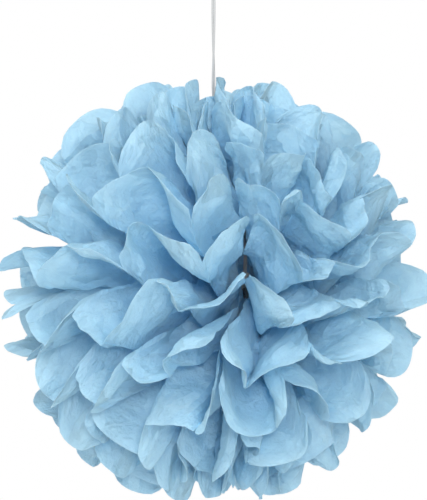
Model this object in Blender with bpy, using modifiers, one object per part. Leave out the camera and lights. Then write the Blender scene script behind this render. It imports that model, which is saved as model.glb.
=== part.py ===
"""Tissue paper pom pom, hung on a string.

Ten sheets of tissue are laid in a stack, pleated together into one strip, cut round
at both ends, tied round the middle with wire and pulled apart, five sheets up and
five down, until the two fans of every sheet close into a ball.

Metres, +Z up. The stack's axis is Z, the strip lay along X, and the seam between the
left and the right fans faces -Y and +Y. The origin is the point inside the top of the
string's loop that rests on a hook, so the ball's centre is HANG_DROP below it.
"""
import math

import bmesh
import bpy
import numpy as np
from mathutils import Vector

# Stack of tissue
SHEET_COUNT = 10
PLEAT_COUNT = 7
PANEL_COUNT = 2 * PLEAT_COUNT
PANEL_WIDTH = 0.050
BALL_RADIUS = 0.1965
SHEET_THICKNESS = 0.0004
SCALLOP_DEPTH = 0.018
PETAL_VARIATION = 0.05
TOP_LATITUDE = math.radians(71.5)
SEAM_ANGLE = math.radians(0.8)

# Waist where the strip is tied
WAIST_HALF_LENGTH = 0.007
BUNDLE_HALF_WIDTH = 0.0045
BUNDLE_HALF_HEIGHT = 0.0056
TIE_OFFSET = 0.030

# Clearance between pieces, and between the strands of a twist
PIECE_GAP = 0.0003

# Tie wire
WIRE_DIAMETER = 0.0016
WIRE_TURNS = 2
WIRE_PITCH = 0.0028
WIRE_CLEARANCE = 0.0010
TAIL_LENGTH = 0.026
TAIL_TWISTS = 1.0

# String
STRING_DIAMETER = 0.0038
HANG_DROP = 0.320
LOOP_LENGTH = 0.036
LOOP_WIDTH = 0.014
KNOT_DIAMETER = 0.0085

# Colours, linear
TISSUE_BLUE = (0.36, 0.62, 0.84, 1.0)
WIRE_GREY = (0.20, 0.21, 0.20, 1.0)
STRING_WHITE = (0.80, 0.80, 0.78, 1.0)

# Rows of the flat sheet from the waist to the cut end, as shares of its half length
ROWS = (0.0, 0.15, 0.36, 0.6, 0.84, 1.0)
# The columns are one to a pleat at the waist and split in two at each of these rows
SPLIT_FROM = (0.36, 0.84, 1.0)


def clear_scene():
    for item in list(bpy.data.objects):
        bpy.data.objects.remove(item, do_unlink=True)


def make_collection(name):
    collection = bpy.data.collections.new(name)
    bpy.context.scene.collection.children.link(collection)
    return collection


def make_material(name, colour, roughness):
    material = bpy.data.materials.new(name)
    material.use_nodes = True
    shader = material.node_tree.nodes["Principled BSDF"]
    shader.inputs["Base Color"].default_value = colour
    shader.inputs["Roughness"].default_value = roughness
    return material


def ease(start, stop, value):
    """Smooth step from 0 at start to 1 at stop."""
    share = np.clip((value - start) / (stop - start), 0.0, 1.0)
    return share * share * (3.0 - 2.0 * share)


def zigzag(value):
    """Pleat wave between -1 and 1, creased at the whole numbers, with soft creases."""
    softness = 0.985
    return np.arcsin(softness * np.cos(math.pi * value)) / math.asin(softness)


def ripple(seed, phi, rise, radius, terms, size):
    """Mean of a few sine waves; each term counts its waves round, up and outward."""
    phases = np.random.default_rng(seed)
    total = 0.0
    for around, up, out in terms:
        shift = phases.uniform(0.0, 2.0 * math.pi)
        total = total + np.sin(around * phi + up * rise + out * radius / BALL_RADIUS + shift)
    return size * total / len(terms)


def cut_radius(layer, side, across):
    """Distance from the tie to the rounded cut end, for every place across the pleats."""
    panel = np.clip(np.floor(across), 0, PANEL_COUNT - 1).astype(int)
    share = across - panel
    own, before, after = (
        1.0 + PETAL_VARIATION * np.sin(2.4 * (panel + near) + 5.1 * layer + 1.7 * side) for near in (0, -1, 1)
    )
    petal = own + 0.5 * (before - own) * (1.0 - ease(0.0, 0.3, share))
    petal = petal + 0.5 * (after - own) * ease(0.7, 1.0, share)
    from_middle = np.abs(2.0 * share - 1.0)
    cut = SCALLOP_DEPTH * (1.0 - np.sqrt(np.clip(1.0 - from_middle ** 2, 0.0, 1.0)))
    return BALL_RADIUS * petal - cut


def rumple(points):
    """Bend the space of the ball the way opened paper falls.

    Every step slides the shells round the centre along themselves, so no step
    can push one sheet through another. The last one carries the tie off centre.
    """
    radius = np.linalg.norm(points, axis=-1)
    safe = np.maximum(radius, 1e-9)
    phi = np.arctan2(points[..., 1], points[..., 0])
    rise = np.arctanh(np.clip(points[..., 2] / safe, -0.9999999, 0.9999999))
    grow = ease(0.25, 0.80, radius / BALL_RADIUS)
    # The seam winds past the tie, and the pleats lean with it
    waves = (8.0 - 2.0 * radius / BALL_RADIUS) * rise
    phi = phi + grow * (0.09 - 0.06 * rise + 0.08 * np.cos(waves))
    # Sheets drift up, down and round
    terms = [(2, 1.0, 2.0), (3, -1.5, 1.0), (1, 2.0, -2.0), (4, 1.0, 1.5)]
    rise = rise + grow * ripple(2, phi, rise, radius, terms, 0.24)
    terms = [(1, 2.0, 1.0), (2, 3.0, 2.0), (2, -3.5, 1.0)]
    phi = phi + grow * ripple(3, phi, rise, radius, terms, 0.10)
    # Single petals tip
    terms = [(6, 2.5, 2.0), (8, -3.2, -3.0), (10, 2.0, 2.0), (5, -3.6, 3.0)]
    rise = rise + grow * ripple(4, phi, rise, radius, terms, 0.15)
    terms = [(5, 6.0, 2.0), (6, -7.5, 3.0), (3, 9.0, -3.0)]
    phi = phi + grow * ripple(5, phi, rise, radius, terms, 0.08)
    # Tips curl
    curl = np.square(np.clip((radius / BALL_RADIUS - 0.62) / 0.38, 0.0, 2.0))
    terms = [(11, 4.0, 3.0), (9, -5.5, 2.0), (13, 3.5, -2.0)]
    rise = rise + curl * ripple(6, phi, rise, radius, terms, 0.07)
    terms = [(6, 10.0, 3.0), (4, -12.0, 2.0)]
    phi = phi + curl * ripple(7, phi, rise, radius, terms, 0.035)
    across = radius / np.cosh(rise)
    bent = np.stack([across * np.cos(phi), across * np.sin(phi), radius * np.tanh(rise)], -1)
    bent[..., 0] += TIE_OFFSET * (1.0 - ease(0.25, 1.0, radius / BALL_RADIUS))
    return bent


def fold_sheet(layer, side, across, along):
    """Points of one fan of a sheet, from its flat places.

    across counts pleat panels from 0 to PANEL_COUNT; along runs from 0 at the tie
    to 1 at the cut end. The result is measured from the ball's centre.
    """
    rim = cut_radius(layer, side, across)
    radius = along * BALL_RADIUS - (BALL_RADIUS - rim) * ease(0.5, 1.0, along)
    span = math.pi / 2.0 - SEAM_ANGLE
    phi = -span + 2.0 * span * across / PANEL_COUNT
    height = 1.0 - 2.0 * layer / (SHEET_COUNT - 1)
    latitude = TOP_LATITUDE * height
    # Pleats: as deep as the paper's width leaves over, and in step in every sheet
    reach = np.maximum(radius, 0.06 * BALL_RADIUS) * math.cos(latitude)
    width = PANEL_WIDTH * (0.25 + 0.75 * ease(0.0, 0.46, radius / BALL_RADIUS))
    step = reach * 2.0 * span / PANEL_COUNT
    depth = np.sqrt(np.maximum(width ** 2 - step ** 2, (0.2 * PANEL_WIDTH) ** 2))
    depth = depth * ease(0.02, 0.23, radius / BALL_RADIUS)
    rise = math.asinh(math.tan(latitude))
    steepest = 0.36 + 0.26 * ease(0.35, 0.95, radius / BALL_RADIUS)
    swing = np.minimum(0.5 * depth / reach, steepest)
    rise = rise + swing * zigzag(across)
    # Fountain: the sheets leave the tie along the strip and open out of it
    towards = np.stack([np.cos(phi), np.sin(phi), np.sinh(rise)], -1) / np.cosh(rise)[..., None]
    angle = np.arccos(np.clip(towards[..., 0], -1.0, 1.0))
    sideways = towards[..., 1:] / np.maximum(np.sin(angle), 1e-9)[..., None]
    shut = ease(-0.15, 0.28, 0.0)
    opened = (ease(-0.15, 0.28, radius / BALL_RADIUS) - shut) / (1.0 - shut)
    angle = angle * opened
    bundle = 1.0 - ease(0.10, 0.61, radius / BALL_RADIUS)
    x = WAIST_HALF_LENGTH * bundle + radius * np.cos(angle)
    level = np.arctan(np.sinh(rise)) / TOP_LATITUDE
    y = BUNDLE_HALF_WIDTH * (phi / span) * (1.0 - 0.35 * level ** 4) * bundle
    z = BUNDLE_HALF_HEIGHT * level * bundle
    y = y + sideways[..., 0] * radius * np.sin(angle)
    z = z + sideways[..., 1] * radius * np.sin(angle)
    return rumple(np.stack([side * x, y, z], -1))


def make_flat_sheet():
    """Flat sheet as a grid: x is the share of the half length, y counts the panels."""
    marks = [-row for row in reversed(ROWS)] + list(ROWS)
    sheet = bmesh.new()
    bmesh.ops.create_grid(sheet, x_segments=len(marks) - 1, y_segments=PLEAT_COUNT, size=0.5)
    for vertex in sheet.verts:
        column = round((vertex.co.x + 0.5) * (len(marks) - 1))
        end = 1.0 if column >= len(ROWS) else -1.0
        vertex.co.y = 2.0 * round((vertex.co.y + 0.5) * PLEAT_COUNT)
        # The two waist rows share the mark 0, so the rows carry an offset of 1
        vertex.co.x = marks[column] + end
    for start in SPLIT_FROM:
        edges = [
            edge for edge in sheet.edges
            if abs(edge.verts[0].co.x - edge.verts[1].co.x) < 1e-6
            and abs(edge.verts[0].co.x) - 1.0 > start - 1e-6
        ]
        bmesh.ops.subdivide_edges(sheet, edges=edges, cuts=1)
    bmesh.ops.triangulate(sheet, faces=sheet.faces[:])
    return sheet


def make_tissue_sheet(number, material, collection):
    sheet = make_flat_sheet()
    flat = np.array([vertex.co[:] for vertex in sheet.verts])
    folded = np.zeros_like(flat)
    for side in (-1, 1):
        own = flat[:, 0] * side > 0.0
        along = np.abs(flat[own, 0]) - 1.0
        folded[own] = fold_sheet(number - 1, side, flat[own, 1], along)
    folded[:, 2] -= HANG_DROP
    for vertex, place in zip(sheet.verts, folded):
        vertex.co = place
    mesh = bpy.data.meshes.new(f"tissue_sheet_{number:02d}")
    sheet.to_mesh(mesh)
    sheet.free()
    mesh.materials.append(material)
    piece = bpy.data.objects.new(mesh.name, mesh)
    collection.objects.link(piece)
    shell = piece.modifiers.new("Paper", "SOLIDIFY")
    shell.thickness = SHEET_THICKNESS
    shell.offset = 0.0
    return piece


def make_tube(name, points, diameter, sides, material, collection, thin_from=None):
    """Round tube with closed ends along a line of points, half as thick from one of them on."""
    curve = bpy.data.curves.new(name, "CURVE")
    curve.dimensions = "3D"
    curve.bevel_depth = diameter / 2.0
    curve.bevel_resolution = sides // 2 - 2
    curve.use_fill_caps = True
    curve.twist_mode = "MINIMUM"
    line = curve.splines.new("POLY")
    line.points.add(len(points) - 1)
    for index, (spot, place) in enumerate(zip(line.points, points)):
        spot.co = (*place, 1.0)
        spot.radius = 0.5 if thin_from is not None and index >= thin_from else 1.0
    drawn = bpy.data.objects.new(name, curve)
    mesh = bpy.data.meshes.new_from_object(drawn)
    bpy.data.objects.remove(drawn)
    tube = bmesh.new()
    tube.from_mesh(mesh)
    bmesh.ops.remove_doubles(tube, verts=tube.verts[:], dist=0.00001)
    tube.to_mesh(mesh)
    tube.free()
    mesh.name = name
    mesh.materials.clear()
    mesh.materials.append(material)
    piece = bpy.data.objects.new(name, mesh)
    collection.objects.link(piece)
    return piece


def tie_centre():
    return Vector((TIE_OFFSET, 0.0, -HANG_DROP))


def tie_half_sizes():
    """Half width and half height of the wire's turns, at the middle of the wire."""
    spare = SHEET_THICKNESS / 2.0 + WIRE_CLEARANCE + WIRE_DIAMETER / 2.0
    return BUNDLE_HALF_WIDTH + spare, BUNDLE_HALF_HEIGHT + spare


def full_round(value):
    """Turn a circle's coordinate into that of a fuller, squarer oval."""
    return math.copysign(abs(value) ** (2.0 / 3.0), value)


def tail_strand(sign):
    """One strand of the twisted tail, from the bundle to the tip."""
    half_width, _ = tie_half_sizes()
    off_axis = 0.5 * (WIRE_DIAMETER + PIECE_GAP)
    strand = []
    steps = int(7 * TAIL_TWISTS)
    for index in range(steps + 1):
        share = index / steps
        turn = sign * math.pi / 2.0 + 2.0 * math.pi * TAIL_TWISTS * share
        out = half_width + 0.0024 + TAIL_LENGTH * share
        strand.append(tie_centre() + Vector((
            off_axis * math.sin(turn),
            -out,
            off_axis * math.cos(turn) - 0.3 * TAIL_LENGTH * share ** 2,
        )))
    return strand


def make_tie_wire(material, collection):
    """Wire wound round the waist, its two ends twisted together into a tail."""
    half_width, half_height = tie_half_sizes()
    steps = 12 * WIRE_TURNS
    turns = []
    for index in range(steps + 1):
        share = index / steps
        turn = 2.0 * math.pi * WIRE_TURNS * share
        turns.append(tie_centre() + Vector((
            WIRE_PITCH * WIRE_TURNS * (share - 0.5),
            -half_width * full_round(math.cos(turn)),
            half_height * full_round(math.sin(turn)),
        )))
    route = tail_strand(-1)[::-1] + turns + tail_strand(1)
    return make_tube("tie_wire", route, WIRE_DIAMETER, 4, material, collection)


def string_place(share):
    """Route of the string from the tie to the knot: it follows the core of the ball."""
    start = -HANG_DROP + tie_half_sizes()[1] + WIRE_DIAMETER / 2.0 + PIECE_GAP
    stop = -LOOP_LENGTH
    height = start + (stop - start) * share
    radius = abs(height + HANG_DROP)
    lean = TIE_OFFSET * (1.0 - float(ease(0.25, 1.0, radius / BALL_RADIUS)))
    return Vector((lean, 0.0, height))


def make_string(material, collection, cutters):
    """Doubled string with the hanging loop at its top, closed by a knot."""
    steps = int((HANG_DROP - LOOP_LENGTH) / (3.0 * STRING_DIAMETER))
    route = [string_place(index / steps) for index in range(steps + 1)]
    # The loop is one strand thick, and the inside of its top is the origin
    top = STRING_DIAMETER / 4.0
    base = -LOOP_LENGTH
    centre = (top + base) / 2.0
    loop_steps = 10
    for index in range(1, loop_steps):
        turn = 2.0 * math.pi * index / loop_steps
        narrow = math.sin(turn / 2.0)
        route.append(Vector((
            -0.5 * LOOP_WIDTH * math.sin(turn) * (0.45 + 0.55 * narrow),
            0.0,
            centre - 0.5 * (top - base) * math.cos(turn),
        )))
    piece = make_tube("hanging_string", route, STRING_DIAMETER, 8, material, collection, steps + 1)
    ball = bmesh.new()
    bmesh.ops.create_icosphere(ball, subdivisions=1, radius=KNOT_DIAMETER / 2.0)
    knot_mesh = bpy.data.meshes.new("knot_shape")
    ball.to_mesh(knot_mesh)
    ball.free()
    knot = bpy.data.objects.new("knot_shape", knot_mesh)
    knot.location = (0.0, 0.0, -LOOP_LENGTH + 0.0008)
    knot.hide_render = True
    cutters.objects.link(knot)
    join = piece.modifiers.new("Knot", "BOOLEAN")
    join.operation = "UNION"
    join.solver = "EXACT"
    join.object = knot
    return piece


def build():
    clear_scene()
    parts = make_collection("tissue_paper_pom_pom")
    cutters = make_collection("cutters")
    tissue = make_material("blue_tissue", TISSUE_BLUE, 0.8)
    wire = make_material("grey_wire", WIRE_GREY, 0.7)
    string = make_material("white_string", STRING_WHITE, 0.8)
    for number in range(1, SHEET_COUNT + 1):
        make_tissue_sheet(number, tissue, parts)
    make_tie_wire(wire, parts)
    make_string(string, parts, cutters)


build()
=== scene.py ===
"""Looks of the tissue paper pom pom.

Ten pleated sheets of tissue, the wire that ties them and the string that they hang from
are made here in full detail, over the solids of the frame, and lit in a plain studio.
"""
import math

import bmesh
import bpy
import numpy as np
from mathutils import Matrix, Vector


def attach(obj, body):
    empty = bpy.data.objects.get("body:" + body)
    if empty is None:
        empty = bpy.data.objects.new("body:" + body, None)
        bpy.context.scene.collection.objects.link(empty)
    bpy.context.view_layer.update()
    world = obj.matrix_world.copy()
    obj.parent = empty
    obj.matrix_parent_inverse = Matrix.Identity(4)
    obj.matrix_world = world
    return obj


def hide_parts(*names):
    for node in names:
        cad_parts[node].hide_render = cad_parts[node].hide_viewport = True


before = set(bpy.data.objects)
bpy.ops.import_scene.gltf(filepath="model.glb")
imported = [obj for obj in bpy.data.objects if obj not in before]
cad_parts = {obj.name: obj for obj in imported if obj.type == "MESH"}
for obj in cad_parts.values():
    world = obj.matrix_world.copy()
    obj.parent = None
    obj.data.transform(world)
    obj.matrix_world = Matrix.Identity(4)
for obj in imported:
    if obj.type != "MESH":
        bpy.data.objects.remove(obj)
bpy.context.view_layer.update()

bl_info = {
    "name": "Tissue paper pom pom",
    "version": (1, 0, 0),
    "blender": (4, 5, 0),
    "location": "3D View > Sidebar > Pom pom",
    "description": "Folds, ties and hangs a ball of pleated tissue paper",
    "category": "Add Mesh",
}

SHEET_COUNT = 10

# Columns of faces in a panel, and rows from the tie to the cut end
PANEL_COLUMNS = 12
FAN_ROWS = 46

# Turns between faces that are sharper than this are shaded as creases
SHARP_TURN = math.radians(20.0)

# Keeps divisions, the arc cosine and the logarithm within their range
TINY = 0.000001

# Part of a panel that keeps a point on a fold with the panel before it
ON_FOLD = 0.0001

# How the length of a petal changes from panel to panel, sheet to sheet and side to side
PETAL_STEPS = (2.4, 5.1, 1.7)

# Part of a panel over which the length of one petal runs into the next
PETAL_BLEND = 0.3

# From here outwards, in ball radii, the rows of the sheet follow the round cut
CUT_FROM = 0.5

# The pleats, by the distance from the tie in ball radii
PLEATS_START = (0.02, 0.23)
WIDTH_GROWS = (0.0, 0.46)
SWING_GROWS = (0.3, 0.8)

# Least distance from the tie that pleats are worked out for, in ball radii
CORE = 0.06

# Width of a pleat at the tie and its least depth, in panel widths
TIED_WIDTH = 0.25
LEAST_DEPTH = 0.2

# Steepest swing of a pleat at the tie, and what it gains on the way out
TIED_SWING = 0.42
SWING_GAIN = 0.32

# Sharpness of a crease: 1 is a knife edge
SOFT_CREASE = 0.995

# Where the fans turn out of the waist and the bundle comes apart, in ball radii
FANS_TURN = (-0.15, 0.28)
BUNDLE_OPENS = (0.10, 0.61)

# Part of its width that the bundle loses towards its top and bottom
BUNDLE_NARROWS = 0.35

# Where the tie's offset fades out, where rumples grow and where tips start, in ball radii
OFFSET_FADES = (0.25, 1.0)
RUMPLES_GROW = (0.25, 0.80)
TIPS_FROM = 0.62

# The seam's lean: steady, by height and in a wave, with its waves at the tie and what they lose
LEAN_STEADY = 0.09
LEAN_BY_HEIGHT = 0.06
LEAN_WAVE = 0.08
LEAN_WAVES = 8.0
LEAN_WAVES_LOST = 2.0

RUMPLES = (
    # which angle moves, how soon, size, then waves round, up and out
    ("rise", "grow", 0.24, ((2, 1.0, 2.0), (3, -1.5, 1.0), (1, 2.0, -2.0), (4, 1.0, 1.5))),
    ("phi", "grow", 0.10, ((1, 2.0, 1.0), (2, 3.0, 2.0), (2, -3.5, 1.0))),
    ("rise", "grow", 0.15, ((6, 2.5, 2.0), (8, -3.2, -3.0), (10, 2.0, 2.0), (5, -3.6, 3.0))),
    ("phi", "grow", 0.08, ((5, 6.0, 2.0), (6, -7.5, 3.0), (3, 9.0, -3.0))),
    ("rise", "curl", 0.035, ((11, 4.0, 3.0), (9, -5.5, 2.0), (13, 3.5, -2.0))),
    ("phi", "curl", 0.018, ((6, 10.0, 3.0), (4, -12.0, 2.0))),
    ("rise", "curl", 0.05, ((4, 1.5, 0.0), (7, -2.0, 1.0), (3, 2.5, -1.0))),
)
# Seed of the first rumple's random draws; every next one takes the next number
FIRST_RUMPLE = 2

FOLDS = (
    # which way a set of folds crosses the sheet, from one to the next, height
    (math.radians(65.0), 0.048, 0.0018),
    (math.radians(108.0), 0.037, 0.0012),
    (math.radians(160.0), 0.060, 0.0020),
)
# How far the folds wander aside, and how often to a metre
WANDER = 0.045
WANDERS = 20.0

# One more fold in every panel: height, how far aside in panels, and where it grows, from the tie
PANEL_FOLD = 0.007
PANEL_FOLD_ASIDE = 0.17
PANEL_FOLD_GROWS = (0.06, 0.18)

# How that fold changes from panel to panel and sheet to sheet, and its height from its place
PANEL_FOLD_STEPS = (3.7, 1.3)
PANEL_FOLD_TURN = 2.3

# Facets between the folds: cells to a metre and height of a cell
CELLS = 55.0
CELL_HEIGHT = 0.0040

# Crumples start beyond the waist, by the distance from the tie in metres
CRUMPLES_GROW = (0.015, 0.07)

# Finish of the tissue: matt with a cool bloom, and light that spreads inside the thin paper
TISSUE_FINISH = {
    "Roughness": 0.6,
    "Specular IOR Level": 0.35,
    "Sheen Weight": 0.6,
    "Sheen Roughness": 0.5,
    "Sheen Tint": (0.6, 0.9, 1.0, 1.0),
    "Subsurface Weight": 0.5,
    "Subsurface Radius": (0.8, 1.0, 1.1),
    "Subsurface Scale": 0.0015,
}

# Clouds in the colour: how many to a metre, where they turn dark and light, and their shades
CLOUDS = 60.0
CLOUD_STOPS = (0.25, 0.75)
DARK_SHADE = (0.86, 0.90, 0.94)
LIGHT_SHADE = 1.08
LIGHTEST = 0.95

# The cut edge is paler: partly the frayed cut, partly a painted highlight along the rim. Width, colour and
# how much of that colour shows
FRAY_AND_HIGHLIGHT_WIDTH = 0.0022
FRAY_AND_HIGHLIGHT_COLOUR = (0.72, 0.86, 0.95, 1.0)
FRAY_AND_HIGHLIGHT_SHARE = 0.1

# Crumples too fine for the mesh: cells to a metre and height
LEANING_FACETS = ((42.0, 300.0), (110.0, 130.0))
RIDGED_FACETS = ((60.0, 0.5), (160.0, 0.3), (330.0, 0.2))
GRAIN = (700.0, 0.12)
GREATEST_BUMP = 0.003

# The fine crumples swirl a little, and are longer along the pleats
SWIRLS = 90.0
SWIRL = (0.006, 0.006, 0.0)
STRETCH = (0.55, 1.0, 1.0)

# Thickness of the frame's solid sheets, which the wire is wound clear of
SOLID_PAPER = 0.0004

# Room between neighbouring pieces, and between the strands of a twist
PIECE_GAP = 0.0003

# Points this close together are one
MERGE_WITHIN = 0.00001

# Faces round a strand of string and round the wire
STRAND_SIDES = 14
WIRE_SIDES = 12

# Strands of the doubled string: their size and distance, in quarters of its width, and their twist
STRAND_SIZE = 0.98
STRANDS_APART = 1.04
STRING_TWISTS = 1.6

# Steps along the string, round the loop, round a knot, round a turn of wire and along its tail
STRING_STEPS = 120
LOOP_STEPS = 60
KNOT_STEPS = 72
TURN_STEPS = 60
TAIL_STEPS = 40

# Half sizes of the knot and of the hitch at the tie, the step of the string that the hitch is at,
# and their half depth by those sizes
KNOT_SIZE = 0.0034
HITCH_SIZE = 0.0030
HITCH_STEP = 2
KNOT_DEPTH = 0.4

# How far above the knot's middle the loop starts, and how much it narrows towards it
LOOP_START = 0.002
LOOP_NARROWS = 0.55

# Where the wire's twisted tail starts in front of the turns, and how much it droops
TAIL_START = 0.0024
TAIL_DROOP = 0.3

# Power that fills out a turn of wire towards the corners of the bundle: 1 leaves it round
TURN_FULLNESS = 2.0 / 3.0

# The picture in pixels, the camera's sensor in mm, and how far up the view is shifted
PICTURE = (427, 500)
SENSOR = 36.0
VIEW_SHIFT = 0.079

# Place from the ball's centre and width of the lamps
KEY_PLACE = (-0.4, -1.5, 1.5)
KEY_SIZE = 1.0
FILL_PLACE = (0.2, -2.3, 0.35)
FILL_SIZE = 0.4

# The floor: half its width, how far it is below the ball's centre, and how pale it is
FLOOR_HALF = 2.5
FLOOR_BELOW = 0.75
FLOOR_PALE = (0.92, 0.92, 0.92)

# Light goes from petal to petal many times before it leaves the ball
MOST_BOUNCES = 20
MOST_DIFFUSE_BOUNCES = 12


class PomPomPaper(bpy.types.PropertyGroup):
    """Sizes and colour of the tissue"""

    panel_count: bpy.props.IntProperty(
        name="Panels", description="Pleat panels across a sheet", default=14, min=4)
    panel_width: bpy.props.FloatProperty(
        name="Panel width", description="Width of one pleat panel", default=0.050, subtype="DISTANCE")
    ball_radius: bpy.props.FloatProperty(
        name="Ball radius", description="Waist to the tip of a petal", default=0.1965, subtype="DISTANCE")
    thickness: bpy.props.FloatProperty(
        name="Thickness", description="Thickness that a sheet is drawn with",
        default=0.0003, subtype="DISTANCE")
    scallop: bpy.props.FloatProperty(
        name="Scallop", description="Depth of the round cut at the end of a panel",
        default=0.018, subtype="DISTANCE")
    variation: bpy.props.FloatProperty(
        name="Petal variation", description="Share by which petals differ in length",
        default=0.05, subtype="FACTOR")
    top_angle: bpy.props.FloatProperty(
        name="Top angle", description="Height angle of the top sheet",
        default=math.radians(71.5), subtype="ANGLE")
    seam_angle: bpy.props.FloatProperty(
        name="Seam angle", description="Angle left open at the seam on each side",
        default=math.radians(0.8), subtype="ANGLE")
    crumple: bpy.props.FloatProperty(
        name="Crumple", description="How strongly the paper is crumpled", default=1.0, subtype="FACTOR")
    colour: bpy.props.FloatVectorProperty(
        name="Colour", description="Colour of the tissue", size=3,
        default=(0.50, 0.755, 0.90), subtype="COLOR")


class PomPomTie(bpy.types.PropertyGroup):
    """Sizes and colour of the waist and its wire"""

    half_length: bpy.props.FloatProperty(
        name="Waist half length", description="Half of the tied length",
        default=0.007, subtype="DISTANCE")
    half_width: bpy.props.FloatProperty(
        name="Bundle half width", description="Half width of the tied bundle",
        default=0.0045, subtype="DISTANCE")
    half_height: bpy.props.FloatProperty(
        name="Bundle half height", description="Half height of the tied bundle",
        default=0.0056, subtype="DISTANCE")
    offset: bpy.props.FloatProperty(
        name="Tie offset", description="How far right of the ball's centre the tie is", default=0.030,
        subtype="DISTANCE")
    wire: bpy.props.FloatProperty(
        name="Wire", description="Diameter of the covered wire", default=0.0016, subtype="DISTANCE")
    turns: bpy.props.IntProperty(
        name="Turns", description="Turns of wire round the waist", default=2, min=1)
    pitch: bpy.props.FloatProperty(
        name="Pitch", description="From one turn to the next", default=0.0028, subtype="DISTANCE")
    clearance: bpy.props.FloatProperty(
        name="Clearance", description="Room between the paper and the wire",
        default=0.0010, subtype="DISTANCE")
    tail: bpy.props.FloatProperty(
        name="Tail", description="Length of the twisted ends", default=0.026, subtype="DISTANCE")
    colour: bpy.props.FloatVectorProperty(
        name="Colour", description="Colour of the covered wire", size=3,
        default=(0.30, 0.34, 0.34), subtype="COLOR")


class PomPomString(bpy.types.PropertyGroup):
    """Sizes and colour of the string"""

    diameter: bpy.props.FloatProperty(
        name="Diameter", description="Width of the doubled string", default=0.0038, subtype="DISTANCE")
    drop: bpy.props.FloatProperty(
        name="Drop", description="From the hook to the ball's centre", default=0.320, subtype="DISTANCE")
    loop_length: bpy.props.FloatProperty(
        name="Loop length", description="Length of the hanging loop", default=0.036, subtype="DISTANCE")
    loop_width: bpy.props.FloatProperty(
        name="Loop width", description="Width of the hanging loop", default=0.014, subtype="DISTANCE")
    colour: bpy.props.FloatVectorProperty(
        name="Colour", description="Colour of the string", size=3,
        default=(0.70, 0.71, 0.71), subtype="COLOR")


class PomPomStage(bpy.types.PropertyGroup):
    """Camera distance and light of the studio"""

    distance: bpy.props.FloatProperty(
        name="Camera distance", description="From the camera to the ball's centre",
        default=2.2, subtype="DISTANCE")
    picture_width: bpy.props.FloatProperty(
        name="Picture width", description="Width seen at the ball's centre",
        default=0.405, subtype="DISTANCE")
    key: bpy.props.FloatProperty(
        name="Key light", description="Power of the main lamp", default=12.0, unit="POWER")
    fill: bpy.props.FloatProperty(
        name="Fill light", description="Power of the second lamp", default=11.5, unit="POWER")
    surround: bpy.props.FloatProperty(
        name="Surround", description="Strength of the light from all round",
        default=0.57, subtype="FACTOR")


# Node trees


class Number:
    """A value in a node tree. Arithmetic on it adds the nodes that work it out."""

    def __init__(self, tree, socket):
        self.tree = tree
        self.socket = socket

    def math(self, operation, *others):
        return node_math(self.tree, operation, self, *others)

    def __add__(self, other):
        return self.math("ADD", other)

    def __sub__(self, other):
        return self.math("SUBTRACT", other)

    def __mul__(self, other):
        return self.math("MULTIPLY", other)

    def __truediv__(self, other):
        return self.math("DIVIDE", other)

    def __rsub__(self, other):
        return node_math(self.tree, "SUBTRACT", other, self)

    def __rtruediv__(self, other):
        return node_math(self.tree, "DIVIDE", other, self)

    __radd__ = __add__
    __rmul__ = __mul__


def node_math(tree, operation, *values):
    node = tree.nodes.new("ShaderNodeMath")
    node.operation = operation
    for socket, value in zip(node.inputs, values):
        if isinstance(value, Number):
            tree.links.new(value.socket, socket)
        else:
            socket.default_value = value
    return Number(tree, node.outputs[0])


def ease(start, stop, value):
    """Smooth step from 0 at start to 1 at stop."""
    node = value.tree.nodes.new("ShaderNodeMapRange")
    node.interpolation_type = "SMOOTHSTEP"
    value.tree.links.new(value.socket, node.inputs["Value"])
    node.inputs["From Min"].default_value = start
    node.inputs["From Max"].default_value = stop
    return Number(value.tree, node.outputs["Result"])


def smooth_step(start, stop, value):
    """The same smooth step for a plain number."""
    share = min(max((value - start) / (stop - start), 0.0), 1.0)
    return share * share * (3.0 - 2.0 * share)


def sine(value):
    return value.math("SINE")


def cosine(value):
    return value.math("COSINE")


def vector_of(tree, x, y, z):
    node = tree.nodes.new("ShaderNodeCombineXYZ")
    for socket, value in zip(node.inputs, (x, y, z)):
        if isinstance(value, Number):
            tree.links.new(value.socket, socket)
        else:
            socket.default_value = value
    return node.outputs[0]


def numbers_of(tree, vector):
    node = tree.nodes.new("ShaderNodeSeparateXYZ")
    tree.links.new(vector, node.inputs[0])
    return [Number(tree, socket) for socket in node.outputs]


def new_geometry_tree(name, numbers):
    """A tree that takes a geometry, a material and named numbers, and gives a geometry."""
    tree = bpy.data.node_groups.new(name, "GeometryNodeTree")
    tree.interface.new_socket(name="Geometry", in_out="INPUT", socket_type="NodeSocketGeometry")
    for label, kind in numbers:
        tree.interface.new_socket(name=label, in_out="INPUT", socket_type=kind)
    tree.interface.new_socket(name="Material", in_out="INPUT", socket_type="NodeSocketMaterial")
    tree.interface.new_socket(name="Geometry", in_out="OUTPUT", socket_type="NodeSocketGeometry")
    source = tree.nodes.new("NodeGroupInput")
    inputs = {socket.name: Number(tree, socket) for socket in source.outputs if socket.name}
    return tree, inputs


def finish_tree(tree, inputs, geometry):
    """End a tree in Realize Instances and Set Material."""
    realize = tree.nodes.new("GeometryNodeRealizeInstances")
    painted = tree.nodes.new("GeometryNodeSetMaterial")
    output = tree.nodes.new("NodeGroupOutput")
    tree.links.new(geometry, realize.inputs[0])
    tree.links.new(realize.outputs[0], painted.inputs["Geometry"])
    tree.links.new(inputs["Material"].socket, painted.inputs["Material"])
    tree.links.new(painted.outputs[0], output.inputs[0])


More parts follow.
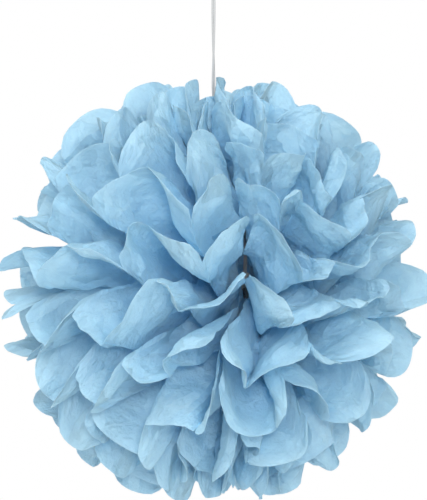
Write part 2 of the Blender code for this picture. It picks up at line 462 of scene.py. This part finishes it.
def run_tree(tree, source, values, material, name):
    """Run a tree on an object and return its result as a plain mesh object."""
    modifier = source.modifiers.new("Shape", "NODES")
    modifier.node_group = tree
    sockets = {item.name: item.identifier for item in tree.interface.items_tree if item.in_out == "INPUT"}
    for label, value in values.items():
        modifier[sockets[label]] = value
    modifier[sockets["Material"]] = material
    bpy.context.view_layer.update()
    graph = bpy.context.evaluated_depsgraph_get()
    mesh = bpy.data.meshes.new_from_object(source.evaluated_get(graph))
    mesh.name = name
    if not mesh.polygons:
        raise RuntimeError(f"{name} came out empty")
    bpy.data.objects.remove(source)
    piece = bpy.data.objects.new(name, mesh)
    bpy.context.scene.collection.objects.link(piece)
    return piece


# Tissue


def ripple(seed, phi, rise, share, terms, size):
    """Mean of a few sine waves round, up and out from the tie."""
    phases = np.random.default_rng(seed)
    total = 0.0
    for around, up, out in terms:
        wave = rise * up + share * out + float(phases.uniform(0.0, 2.0 * math.pi))
        if around:
            wave = wave + phi * around
        total = sine(wave) + total
    return total * (size / len(terms))


def panel_of(across):
    """The panel that a place across the sheet is in, and how far over the panel it is."""
    panel = (across - ON_FOLD).math("FLOOR").math("MAXIMUM", 0.0)
    return panel, across - panel


def cut_radius(given, across, side):
    """Distance from the tie to the round cut at the end of every panel."""
    panel, share = panel_of(across)

    def length_of(index):
        by_panel, by_sheet, by_side = PETAL_STEPS
        wave = sine(index * by_panel + given["Layer"] * by_sheet + side * by_side)
        return wave * given["Petal variation"] + 1.0

    own = length_of(panel)
    before = length_of(panel - 1.0)
    after = length_of(panel + 1.0)
    petal = own + (before - own) * 0.5 * (1.0 - ease(0.0, PETAL_BLEND, share))
    petal = petal + (after - own) * 0.5 * ease(1.0 - PETAL_BLEND, 1.0, share)
    from_middle = (share * 2.0 - 1.0).math("ABSOLUTE")
    round_cut = 1.0 - (1.0 - from_middle * from_middle).math("MAXIMUM", 0.0).math("SQRT")
    return given["Ball radius"] * petal - given["Scallop"] * round_cut


def pleat(given, across, radius, span):
    """Angle round the tie and rise of the pleated sheet. The rise's hyperbolic sine is its slope."""
    ball = given["Ball radius"]
    panels = given["Panels"]
    ratio = radius / ball
    phi = span * (across * 2.0 / panels - 1.0)
    latitude = given["Top angle"] * given["Height"]
    tangent = latitude.math("TANGENT")
    rise = (tangent + (tangent * tangent + 1.0).math("SQRT")).math("LOGARITHM", math.e)
    reach = radius.math("MAXIMUM", ball * CORE) * cosine(latitude)
    width = given["Panel width"] * (ease(*WIDTH_GROWS, ratio) * (1.0 - TIED_WIDTH) + TIED_WIDTH)
    step = reach * 2.0 * span / panels
    least = given["Panel width"] * LEAST_DEPTH
    depth = (width * width - step * step).math("MAXIMUM", least * least).math("SQRT")
    depth = depth * ease(*PLEATS_START, ratio)
    steepest = ease(*SWING_GROWS, ratio) * SWING_GAIN + TIED_SWING
    swing = (depth * 0.5 / reach).math("MINIMUM", steepest)
    crease = (cosine(across * math.pi) * SOFT_CREASE).math("ARCSINE") / math.asin(SOFT_CREASE)
    return phi, rise + swing * crease


def gather(given, length, radius, phi, rise, span):
    """Place of the pleated sheet: a bundle at the tie that opens like a fountain."""
    ratio = radius / given["Ball radius"]
    flatness = 1.0 / rise.math("COSH")
    angle = (cosine(phi) * flatness).math("ARCCOSINE")
    spread = 1.0 / sine(angle).math("MAXIMUM", TINY)
    shut = smooth_step(*FANS_TURN, 0.0)
    angle = angle * ((ease(*FANS_TURN, ratio) - shut) / (1.0 - shut))
    bundle = 1.0 - ease(*BUNDLE_OPENS, ratio)
    level = rise.math("SINH").math("ARCTANGENT") / given["Top angle"]
    narrowed = 1.0 - level.math("POWER", 2.0).math("POWER", 2.0) * BUNDLE_NARROWS
    out = radius * sine(angle) * spread * flatness
    x = length.math("MINIMUM", given["Waist half length"]) * bundle + radius * cosine(angle)
    y = given["Bundle half width"] * (phi / span) * narrowed * bundle + out * sine(phi)
    z = given["Bundle half height"] * level * bundle + out * rise.math("SINH")
    return x, y, z


def rumple(given, x, y, z):
    """Rumple the whole ball. Shells slide along themselves, so no sheet meets another."""
    far = (x * x + y * y + z * z).math("SQRT").math("MAXIMUM", TINY)
    share = far / given["Ball radius"]
    tilt = (z / far).math("MINIMUM", 1.0 - TINY).math("MAXIMUM", TINY - 1.0)
    angles = {
        "phi": y.math("ARCTAN2", x),
        "rise": ((tilt + 1.0) / (1.0 - tilt)).math("LOGARITHM", math.e) * 0.5,
    }
    tip = ((share - TIPS_FROM) / (1.0 - TIPS_FROM)).math("MAXIMUM", 0.0)
    soon = {"grow": ease(*RUMPLES_GROW, share), "curl": tip * tip}
    wave = cosine((LEAN_WAVES - share * LEAN_WAVES_LOST) * angles["rise"])
    lean = wave * LEAN_WAVE - angles["rise"] * LEAN_BY_HEIGHT + LEAN_STEADY
    angles["phi"] = angles["phi"] + soon["grow"] * lean
    for seed, (moved, when, size, terms) in enumerate(RUMPLES, FIRST_RUMPLE):
        wave = ripple(seed, angles["phi"], angles["rise"], share, terms, size)
        angles[moved] = angles[moved] + soon[when] * wave
    phi, rise = angles["phi"], angles["rise"]
    level = far / rise.math("COSH")
    x = level * cosine(phi) + given["Tie offset"] * (1.0 - ease(*OFFSET_FADES, share))
    return x, level * sine(phi), far * rise.math("TANH") - given["Drop"]


def store(tree, geometry, label, kind, value):
    """Keep a value of every point under a name."""
    node = tree.nodes.new("GeometryNodeStoreNamedAttribute")
    node.data_type = kind
    node.domain = "POINT"
    node.inputs["Name"].default_value = label
    tree.links.new(geometry, node.inputs["Geometry"])
    tree.links.new(value, node.inputs["Value"])
    return node.outputs["Geometry"]


def crumple_height(tree, given):
    """Height of the crumples: a fold in each panel, folds that wander and flat facets."""
    paper = tree.nodes.new("GeometryNodeInputNamedAttribute")
    paper.data_type = "FLOAT_VECTOR"
    paper.inputs["Name"].default_value = "paper"
    spot = paper.outputs["Attribute"]
    flat_x, flat_y, layer = numbers_of(tree, spot)
    from_tie = flat_x.math("ABSOLUTE")
    panel, share = panel_of(flat_y / given["Panel width"])
    by_panel, by_sheet = PANEL_FOLD_STEPS
    which = panel * by_panel + layer * by_sheet + flat_x.math("SIGN")
    middle = sine(which) * PANEL_FOLD_ASIDE + 0.5
    ridge = (share / middle).math("MINIMUM", (1.0 - share) / (1.0 - middle))
    heights = ridge * sine(which * PANEL_FOLD_TURN) * PANEL_FOLD * ease(*PANEL_FOLD_GROWS, from_tie)

    wander = tree.nodes.new("ShaderNodeTexNoise")
    wander.inputs["Scale"].default_value = WANDERS
    wander.inputs["Detail"].default_value = 1.0
    tree.links.new(spot, wander.inputs["Vector"])
    aside_x, aside_y, _ = numbers_of(tree, wander.outputs["Color"])
    drawn_x = flat_x + aside_x * WANDER
    drawn_y = flat_y + aside_y * WANDER
    for turn, width, size in FOLDS:
        wave = (drawn_x * math.cos(turn) + drawn_y * math.sin(turn)) / width + layer * turn
        heights = (wave.math("PINGPONG", 0.5) - 0.25) * (4.0 * size) + heights

    cells = tree.nodes.new("ShaderNodeTexVoronoi")
    cells.feature = "DISTANCE_TO_EDGE"
    cells.inputs["Scale"].default_value = CELLS
    tree.links.new(vector_of(tree, drawn_x, drawn_y, layer), cells.inputs["Vector"])
    heights = Number(tree, cells.outputs["Distance"]) * CELL_HEIGHT + heights
    return heights * given["Crumple"] * ease(*CRUMPLES_GROW, from_tie)


def make_fold_tree():
    """Tree that creases, gathers and opens one flat sheet of tissue into the ball."""
    numbers = [(label, "NodeSocketFloat") for label in (
        "Height", "Layer", "Ball radius", "Panel width", "Panels", "Scallop", "Petal variation",
        "Top angle", "Seam angle", "Waist half length", "Bundle half width", "Bundle half height",
        "Tie offset", "Drop", "Crumple")]
    tree, given = new_geometry_tree("Fold tissue sheet", numbers)
    place = tree.nodes.new("GeometryNodeInputPosition")
    flat_x, across, _ = numbers_of(tree, place.outputs[0])
    ball = given["Ball radius"]
    side = flat_x.math("SIGN")
    length = flat_x.math("ABSOLUTE")
    along = (length - given["Waist half length"]).math("MAXIMUM", 0.0) / ball
    radius = along * ball - (ball - cut_radius(given, across, side)) * ease(CUT_FROM, 1.0, along)
    span = math.pi / 2.0 - given["Seam angle"]
    phi, rise = pleat(given, across, radius, span)
    x, y, z = gather(given, length, radius, phi, rise, span)
    x, y, z = rumple(given, x * side, y, z)

    # Where the paper is on the flat sheet goes with it, for its crumples and its colour
    paper = vector_of(tree, length * side, across * given["Panel width"], given["Layer"])
    # Distance from the cut end, for the frayed edge and the highlight painted along the rim
    from_edge = (1.0 - along) * ball
    kept = store(tree, given["Geometry"].socket, "paper", "FLOAT_VECTOR", paper)
    kept = store(tree, kept, "from_edge", "FLOAT", from_edge.socket)
    folded = tree.nodes.new("GeometryNodeSetPosition")
    tree.links.new(kept, folded.inputs["Geometry"])
    tree.links.new(vector_of(tree, x, y, z), folded.inputs["Position"])

    lift = crumple_height(tree, given)
    normal = tree.nodes.new("GeometryNodeInputNormal")
    nx, ny, nz = numbers_of(tree, normal.outputs[0])
    crumpled = tree.nodes.new("GeometryNodeSetPosition")
    tree.links.new(folded.outputs[0], crumpled.inputs["Geometry"])
    tree.links.new(vector_of(tree, nx * lift, ny * lift, nz * lift), crumpled.inputs["Offset"])
    finish_tree(tree, given, crumpled.outputs[0])
    return tree


def make_flat_sheet(name, length, panels):
    """Flat grid of paper: x in metres from the tie, y in panels."""
    sheet = bmesh.new()
    bmesh.ops.create_grid(sheet, x_segments=2 * FAN_ROWS, y_segments=panels * PANEL_COLUMNS, size=0.5)
    for vertex in sheet.verts:
        vertex.co.x *= 2.0 * length
        vertex.co.y = (vertex.co.y + 0.5) * panels
    mesh = bpy.data.meshes.new(name)
    sheet.to_mesh(mesh)
    sheet.free()
    flat = bpy.data.objects.new(name, mesh)
    bpy.context.scene.collection.objects.link(flat)
    return flat


def give_thickness(piece, thickness):
    """Make the sheet a closed skin with a square cut edge."""
    shell = piece.modifiers.new("Paper", "SOLIDIFY")
    shell.thickness = thickness
    shell.offset = 0.0
    bpy.context.view_layer.update()
    graph = bpy.context.evaluated_depsgraph_get()
    mesh = bpy.data.meshes.new_from_object(
        piece.evaluated_get(graph), preserve_all_data_layers=True, depsgraph=graph)
    piece.modifiers.remove(shell)
    piece.data = mesh
    mesh.shade_smooth()
    mesh.set_sharp_from_angle(angle=SHARP_TURN)


def add_noise(tree, vector, scale, detail, roughness=0.5):
    """Noise over the paper."""
    node = tree.nodes.new("ShaderNodeTexNoise")
    node.inputs["Scale"].default_value = scale
    node.inputs["Detail"].default_value = detail
    node.inputs["Roughness"].default_value = roughness
    tree.links.new(vector, node.inputs["Vector"])
    return node


def add_cells(tree, vector, scale, feature):
    """Straight-edged cells over the paper."""
    node = tree.nodes.new("ShaderNodeTexVoronoi")
    node.feature = feature
    node.inputs["Scale"].default_value = scale
    tree.links.new(vector, node.inputs["Vector"])
    return node


def paint_tissue(tree, paper, colour):
    """Colour of the paper: clouds of two shades, and a cut edge a shade lighter, partly for the frayed cut
    and partly as a painted rim highlight.
    """
    clouds = add_noise(tree, paper, CLOUDS, detail=6.0, roughness=0.65)
    tone = tree.nodes.new("ShaderNodeValToRGB")
    dark, light = tone.color_ramp.elements
    dark.position, light.position = CLOUD_STOPS
    dark.color = (*(part * shade for part, shade in zip(colour, DARK_SHADE)), 1.0)
    light.color = (*(min(part * LIGHT_SHADE, LIGHTEST) for part in colour), 1.0)
    tree.links.new(clouds.outputs[0], tone.inputs[0])
    from_edge = tree.nodes.new("ShaderNodeAttribute")
    from_edge.attribute_name = "from_edge"
    # Painted rim highlight, together with the frayed cut: the colour turns lighter close to the cut end
    fray_and_highlight = ease(FRAY_AND_HIGHLIGHT_WIDTH, 0.0, Number(tree, from_edge.outputs["Fac"]))
    with_fray_and_highlight = tree.nodes.new("ShaderNodeMix")
    with_fray_and_highlight.data_type = "RGBA"
    tree.links.new((fray_and_highlight * FRAY_AND_HIGHLIGHT_SHARE).socket, with_fray_and_highlight.inputs[0])
    tree.links.new(tone.outputs[0], with_fray_and_highlight.inputs[6])
    with_fray_and_highlight.inputs[7].default_value = FRAY_AND_HIGHLIGHT_COLOUR
    return with_fray_and_highlight.outputs[2]


def leaning_facets(tree, vector, scale):
    """Flat facets, each leaning its own way: the height falls off evenly over each cell."""
    cell = add_cells(tree, vector, scale, "F1")
    x, y, _ = numbers_of(tree, vector)
    middle_x, middle_y, _ = numbers_of(tree, cell.outputs["Position"])
    lean_x, lean_y, _ = numbers_of(tree, cell.outputs["Color"])
    return (x - middle_x) * (lean_x - 0.5) + (y - middle_y) * (lean_y - 0.5)


def fine_crumples(tree, paper):
    """Height of the little facets in several sizes, and of the paper's grain."""
    swirl = add_noise(tree, paper, SWIRLS, detail=2.0)
    bent = tree.nodes.new("ShaderNodeVectorMath")
    bent.operation = "MULTIPLY_ADD"
    tree.links.new(swirl.outputs["Color"], bent.inputs[0])
    bent.inputs[1].default_value = SWIRL
    tree.links.new(paper, bent.inputs[2])
    drawn = tree.nodes.new("ShaderNodeVectorMath")
    drawn.operation = "MULTIPLY"
    tree.links.new(bent.outputs[0], drawn.inputs[0])
    drawn.inputs[1].default_value = STRETCH
    spot = drawn.outputs[0]
    heights = [leaning_facets(tree, spot, scale) * height for scale, height in LEANING_FACETS]
    for scale, height in RIDGED_FACETS:
        cell = add_cells(tree, spot, scale, "DISTANCE_TO_EDGE")
        heights.append(Number(tree, cell.outputs["Distance"]) * height)
    scale, height = GRAIN
    grain = add_noise(tree, paper, scale, detail=3.0, roughness=0.6)
    heights.append(Number(tree, grain.outputs[0]) * height)
    return sum(heights)


def tissue_material(colour):
    """Thin matt tissue: crumpled, a little see-through, its cut edge a shade lighter: partly frayed, partly
    a painted rim highlight.
    """
    material = bpy.data.materials.new("blue tissue")
    material.use_nodes = True
    tree = material.node_tree
    shader = tree.nodes["Principled BSDF"]
    shader.subsurface_method = "BURLEY"
    for label, value in TISSUE_FINISH.items():
        shader.inputs[label].default_value = value
    paper = tree.nodes.new("ShaderNodeAttribute")
    paper.attribute_name = "paper"
    spot = paper.outputs["Vector"]
    tree.links.new(paint_tissue(tree, spot, colour), shader.inputs["Base Color"])
    bump = tree.nodes.new("ShaderNodeBump")
    bump.inputs["Strength"].default_value = 1.0
    bump.inputs["Distance"].default_value = GREATEST_BUMP
    tree.links.new(fine_crumples(tree, spot).socket, bump.inputs["Height"])
    tree.links.new(bump.outputs[0], shader.inputs["Normal"])
    return material


class POMPOM_OT_add_sheets(bpy.types.Operator):
    """Fold the ten sheets of tissue and open them into the ball"""

    bl_idname = "pompom.add_sheets"
    bl_label = "Tissue sheets"

    def execute(self, context):
        scene = context.scene
        paper = scene.pompom_paper
        tie = scene.pompom_tie
        material = tissue_material(paper.colour)
        tree = make_fold_tree()
        half_length = paper.ball_radius + tie.half_length
        for layer in range(SHEET_COUNT):
            name = f"folded_tissue_{layer + 1:02d}"
            flat = make_flat_sheet(name + "_flat", half_length, paper.panel_count)
            values = {
                "Height": 1.0 - 2.0 * layer / (SHEET_COUNT - 1), "Layer": float(layer),
                "Ball radius": paper.ball_radius, "Panel width": paper.panel_width,
                "Panels": float(paper.panel_count), "Scallop": paper.scallop,
                "Petal variation": paper.variation, "Top angle": paper.top_angle,
                "Seam angle": paper.seam_angle, "Waist half length": tie.half_length,
                "Bundle half width": tie.half_width, "Bundle half height": tie.half_height,
                "Tie offset": tie.offset, "Drop": scene.pompom_string.drop, "Crumple": paper.crumple,
            }
            piece = run_tree(tree, flat, values, material, name)
            give_thickness(piece, paper.thickness)
            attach(piece, "root")
            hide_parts(f"tissue_sheet_{layer + 1:02d}")
        return {"FINISHED"}


# Wire and string


def make_strand_tree():
    """Tree that runs round strands along a line, twisted about it."""
    tree, given = new_geometry_tree("Strands along a line", [
        ("Strands", "NodeSocketInt"), ("Strand radius", "NodeSocketFloat"),
        ("Twist radius", "NodeSocketFloat"), ("Twists", "NodeSocketFloat"),
        ("First turn", "NodeSocketFloat"), ("Sides", "NodeSocketInt")])
    to_curve = tree.nodes.new("GeometryNodeMeshToCurve")
    tree.links.new(given["Geometry"].socket, to_curve.inputs[0])
    copies = tree.nodes.new("GeometryNodeDuplicateElements")
    copies.domain = "SPLINE"
    tree.links.new(to_curve.outputs[0], copies.inputs["Geometry"])
    tree.links.new(given["Strands"].socket, copies.inputs["Amount"])
    which = Number(tree, copies.outputs["Duplicate Index"])
    place = tree.nodes.new("GeometryNodeSplineParameter")
    share = Number(tree, place.outputs["Factor"])
    twisted = share * given["Twists"] * (2.0 * math.pi)
    turn = given["First turn"] + twisted + which / given["Strands"] * (2.0 * math.pi)
    tangent = tree.nodes.new("GeometryNodeInputTangent")
    normal = tree.nodes.new("GeometryNodeInputNormal")
    spun = tree.nodes.new("ShaderNodeVectorRotate")
    spun.rotation_type = "AXIS_ANGLE"
    tree.links.new(normal.outputs[0], spun.inputs["Vector"])
    tree.links.new(tangent.outputs[0], spun.inputs["Axis"])
    tree.links.new(turn.socket, spun.inputs["Angle"])
    nx, ny, nz = numbers_of(tree, spun.outputs[0])
    off = given["Twist radius"]
    moved = tree.nodes.new("GeometryNodeSetPosition")
    tree.links.new(copies.outputs["Geometry"], moved.inputs["Geometry"])
    tree.links.new(vector_of(tree, nx * off, ny * off, nz * off), moved.inputs["Offset"])
    ring = tree.nodes.new("GeometryNodeCurvePrimitiveCircle")
    tree.links.new(given["Sides"].socket, ring.inputs["Resolution"])
    tree.links.new(given["Strand radius"].socket, ring.inputs["Radius"])
    tube = tree.nodes.new("GeometryNodeCurveToMesh")
    tree.links.new(moved.outputs[0], tube.inputs["Curve"])
    tree.links.new(ring.outputs[0], tube.inputs["Profile Curve"])
    tube.inputs["Fill Caps"].default_value = True
    finish_tree(tree, given, tube.outputs[0])
    return tree


def make_line(name, points, closed=False):
    """Line of edges through the points."""
    mesh = bpy.data.meshes.new(name)
    edges = [(i, i + 1) for i in range(len(points) - 1)]
    if closed:
        edges.append((len(points) - 1, 0))
    mesh.from_pydata([tuple(point) for point in points], edges, [])
    line = bpy.data.objects.new(name, mesh)
    bpy.context.scene.collection.objects.link(line)
    return line


def join_pieces(name, pieces):
    """One object of several pieces' meshes, with doubled points merged."""
    joined = bmesh.new()
    for piece in pieces:
        joined.from_mesh(piece.data)
    bmesh.ops.remove_doubles(joined, verts=joined.verts[:], dist=MERGE_WITHIN)
    bmesh.ops.recalc_face_normals(joined, faces=joined.faces[:])
    mesh = bpy.data.meshes.new(name)
    joined.to_mesh(mesh)
    joined.free()
    mesh.materials.append(pieces[0].data.materials[0])
    mesh.shade_smooth()
    for piece in pieces:
        bpy.data.objects.remove(piece)
    whole = bpy.data.objects.new(name, mesh)
    bpy.context.scene.collection.objects.link(whole)
    return whole


def tie_half_sizes(tie):
    """Half width and half height of the wire's turns, at the middle of the wire."""
    spare = SOLID_PAPER / 2.0 + tie.clearance + tie.wire / 2.0
    return tie.half_width + spare, tie.half_height + spare


def string_route(scene):
    """Points of the doubled string, from the tie to the knot below the loop."""
    tie = scene.pompom_tie
    string = scene.pompom_string
    start = -string.drop + tie_half_sizes(tie)[1] + tie.wire / 2.0 + PIECE_GAP
    route = []
    for index in range(STRING_STEPS + 1):
        height = start + (-string.loop_length - start) * index / STRING_STEPS
        out = abs(height + string.drop) / scene.pompom_paper.ball_radius
        route.append(Vector((tie.offset * (1.0 - smooth_step(*OFFSET_FADES, out)), 0.0, height)))
    return route


def loop_route(string, top):
    """Points of the hanging loop, from the knot up, round the hook and down."""
    base = -string.loop_length + LOOP_START
    route = []
    for index in range(LOOP_STEPS + 1):
        turn = 2.0 * math.pi * index / LOOP_STEPS
        wide = math.sin(turn) * (1.0 - LOOP_NARROWS + LOOP_NARROWS * math.sin(turn / 2.0))
        route.append(Vector((
            -0.5 * string.loop_width * wide, 0.0,
            (base + top) / 2.0 - 0.5 * (top - base) * math.cos(turn))))
    return route


def knot_route(centre, size):
    """Points of a small overhand knot."""
    route = []
    for index in range(KNOT_STEPS):
        turn = 2.0 * math.pi * index / KNOT_STEPS
        route.append(Vector(centre) + size * Vector((
            (math.sin(turn) + 2.0 * math.sin(2.0 * turn)) / 3.0,
            -KNOT_DEPTH * math.sin(3.0 * turn),
            (math.cos(turn) - 2.0 * math.cos(2.0 * turn)) / 3.0)))
    return route


def tail_strand(tie, centre, half_width, sign):
    """Points of one end of the wire, twisted with the other one and drooping a little."""
    aside = (tie.wire + PIECE_GAP) / 2.0
    strand = []
    for index in range(TAIL_STEPS + 1):
        share = index / TAIL_STEPS
        turn = sign * math.pi / 2.0 + 2.0 * math.pi * share
        strand.append(centre + Vector((
            aside * math.sin(turn), -(half_width + TAIL_START + tie.tail * share),
            aside * math.cos(turn) - TAIL_DROOP * tie.tail * share ** 2)))
    return strand


def fill_out(value):
    """Sine or cosine of a turn of wire that hugs the bundle's corners."""
    return math.copysign(abs(value) ** TURN_FULLNESS, value)


def wire_turns(tie, centre):
    """Points of the turns of wire round the waist."""
    half_width, half_height = tie_half_sizes(tie)
    steps = TURN_STEPS * tie.turns
    turns = []
    for index in range(steps + 1):
        share = index / steps
        turn = 2.0 * math.pi * tie.turns * share
        turns.append(centre + Vector((
            tie.pitch * tie.turns * (share - 0.5), -half_width * fill_out(math.cos(turn)),
            half_height * fill_out(math.sin(turn)))))
    return turns


def simple_material(name, colour, roughness):
    """Plain matt finish."""
    material = bpy.data.materials.new(name)
    material.use_nodes = True
    shader = material.node_tree.nodes["Principled BSDF"]
    shader.inputs["Base Color"].default_value = (*colour, 1.0)
    shader.inputs["Roughness"].default_value = roughness
    return material


class POMPOM_OT_add_string(bpy.types.Operator):
    """Twist the doubled string, knot it and make its hanging loop"""

    bl_idname = "pompom.add_string"
    bl_label = "Hanging string"

    def execute(self, context):
        scene = context.scene
        string = scene.pompom_string
        material = simple_material("white string", string.colour, roughness=0.85)
        tree = make_strand_tree()
        thick = string.diameter / 4.0
        route = string_route(scene)
        single = {"Strands": 1, "Strand radius": thick * STRAND_SIZE, "Twist radius": 0.0,
                  "Twists": 0.0, "First turn": 0.0, "Sides": STRAND_SIDES}
        twisted = {**single, "Strands": 2, "Twist radius": thick * STRANDS_APART, "Twists": STRING_TWISTS}
        knot_line = make_line("knot", knot_route((0.0, 0.0, -string.loop_length), KNOT_SIZE), True)
        hitch_line = make_line("hitch", knot_route(route[HITCH_STEP], HITCH_SIZE), True)
        run = run_tree(tree, make_line("run", route), twisted, material, "run")
        bight = run_tree(tree, make_line("bight", loop_route(string, thick)), single, material, "bight")
        knot = run_tree(tree, knot_line, single, material, "knot")
        hitch = run_tree(tree, hitch_line, single, material, "hitch")
        run = join_pieces("twisted_string", [run])
        loop = join_pieces("string_loop", [bight, knot])
        hitch = join_pieces("string_hitch", [hitch])
        for piece in (run, loop, hitch):
            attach(piece, "root")
        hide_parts("hanging_string")
        return {"FINISHED"}


class POMPOM_OT_add_tie_wire(bpy.types.Operator):
    """Wind the covered wire round the waist and twist its ends"""

    bl_idname = "pompom.add_tie_wire"
    bl_label = "Tie wire"

    def execute(self, context):
        tie = context.scene.pompom_tie
        material = simple_material("grey covered wire", tie.colour, roughness=0.7)
        centre = Vector((tie.offset, 0.0, -context.scene.pompom_string.drop))
        half_width, _ = tie_half_sizes(tie)
        first_end = tail_strand(tie, centre, half_width, -1)
        last_end = tail_strand(tie, centre, half_width, 1)
        line = make_line("wire", first_end[::-1] + wire_turns(tie, centre) + last_end)
        values = {"Strands": 1, "Strand radius": tie.wire / 2.0, "Twist radius": 0.0, "Twists": 0.0,
                  "First turn": 0.0, "Sides": WIRE_SIDES}
        wire = join_pieces("wound_tie_wire", [run_tree(make_strand_tree(), line, values, material, "wire")])
        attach(wire, "root")
        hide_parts("tie_wire")
        return {"FINISHED"}


# Studio


def add_camera(scene, centre):
    """Camera level with the ball's centre, straight in front."""
    stage = scene.pompom_stage
    wide, tall = PICTURE
    camera = bpy.data.cameras.new("camera")
    camera.sensor_fit = "VERTICAL"
    camera.sensor_height = SENSOR
    camera.lens = SENSOR * stage.distance / (stage.picture_width * tall / wide)
    camera.shift_y = VIEW_SHIFT
    eye = bpy.data.objects.new("camera", camera)
    eye.location = centre + Vector((0.0, -stage.distance, 0.0))
    eye.rotation_euler = (math.pi / 2.0, 0.0, 0.0)
    scene.collection.objects.link(eye)
    scene.camera = eye


def add_lamp(scene, name, centre, place, size, power):
    """Square lamp that faces the ball's centre."""
    lamp = bpy.data.lights.new(name, "AREA")
    lamp.size = size
    lamp.energy = power
    lit = bpy.data.objects.new(name, lamp)
    lit.location = centre + Vector(place)
    lit.rotation_mode = "QUATERNION"
    lit.rotation_quaternion = Vector(place).to_track_quat("Z", "Y")
    scene.collection.objects.link(lit)


def add_surround(scene):
    """White background, with a weaker light from all round."""
    world = bpy.data.worlds.new("studio")
    scene.world = world
    world.use_nodes = True
    tree = world.node_tree
    tree.nodes.clear()
    rays = tree.nodes.new("ShaderNodeLightPath")
    camera = Number(tree, rays.outputs["Is Camera Ray"])
    glossy = Number(tree, rays.outputs["Is Glossy Ray"])
    through = Number(tree, rays.outputs["Is Transmission Ray"])
    seen = camera.math("MAXIMUM", glossy).math("MAXIMUM", through)
    surround = scene.pompom_stage.surround
    strength = seen * (1.0 - surround) + surround
    background = tree.nodes.new("ShaderNodeBackground")
    background.inputs["Color"].default_value = (1.0, 1.0, 1.0, 1.0)
    tree.links.new(strength.socket, background.inputs["Strength"])
    output = tree.nodes.new("ShaderNodeOutputWorld")
    tree.links.new(background.outputs[0], output.inputs["Surface"])


def add_floor(scene, centre):
    """Pale floor far below the ball."""
    shape = bmesh.new()
    bmesh.ops.create_grid(shape, x_segments=1, y_segments=1, size=FLOOR_HALF)
    mesh = bpy.data.meshes.new("floor")
    shape.to_mesh(mesh)
    shape.free()
    mesh.materials.append(simple_material("pale floor", FLOOR_PALE, roughness=0.9))
    floor = bpy.data.objects.new("floor", mesh)
    floor.location = centre - Vector((0.0, 0.0, FLOOR_BELOW))
    scene.collection.objects.link(floor)
    return floor


class POMPOM_OT_add_stage(bpy.types.Operator):
    """Set the floor, the lamps and the camera"""

    bl_idname = "pompom.add_stage"
    bl_label = "Studio"

    def execute(self, context):
        scene = context.scene
        stage = scene.pompom_stage
        centre = Vector((0.0, 0.0, -scene.pompom_string.drop))
        add_camera(scene, centre)
        add_lamp(scene, "key_lamp", centre, KEY_PLACE, KEY_SIZE, stage.key)
        add_lamp(scene, "fill_lamp", centre, FILL_PLACE, FILL_SIZE, stage.fill)
        add_surround(scene)
        add_floor(scene, centre)
        scene.view_settings.view_transform = "Standard"
        scene.cycles.max_bounces = MOST_BOUNCES
        scene.cycles.diffuse_bounces = MOST_DIFFUSE_BOUNCES
        return {"FINISHED"}


class POMPOM_PT_panel(bpy.types.Panel):
    """Sizes, colours and steps of the pom pom"""

    bl_idname = "POMPOM_PT_panel"
    bl_label = "Tissue paper pom pom"
    bl_space_type = "VIEW_3D"
    bl_region_type = "UI"
    bl_category = "Pom pom"

    def draw(self, context):
        for owner in ("pompom_paper", "pompom_tie", "pompom_string", "pompom_stage"):
            group = getattr(context.scene, owner)
            box = self.layout.box()
            for name in group.bl_rna.properties.keys():
                if name not in ("rna_type", "name"):
                    box.prop(group, name)
        for step in STEPS:
            self.layout.operator(step.bl_idname)


GROUPS = {
    "pompom_paper": PomPomPaper,
    "pompom_tie": PomPomTie,
    "pompom_string": PomPomString,
    "pompom_stage": PomPomStage,
}
STEPS = (POMPOM_OT_add_stage, POMPOM_OT_add_string, POMPOM_OT_add_tie_wire, POMPOM_OT_add_sheets)


def register():
    for group in (*GROUPS.values(), *STEPS, POMPOM_PT_panel):
        bpy.utils.register_class(group)
    for name, group in GROUPS.items():
        setattr(bpy.types.Scene, name, bpy.props.PointerProperty(type=group))


def unregister():
    for name in GROUPS:
        delattr(bpy.types.Scene, name)
    for group in (POMPOM_PT_panel, *reversed(STEPS), *reversed(GROUPS.values())):
        bpy.utils.unregister_class(group)


def main():
    register()
    bpy.ops.pompom.add_stage()
    bpy.ops.pompom.add_string()
    bpy.ops.pompom.add_tie_wire()
    bpy.ops.pompom.add_sheets()
    bpy.context.view_layer.update()


if __name__ == "__main__":
    main()
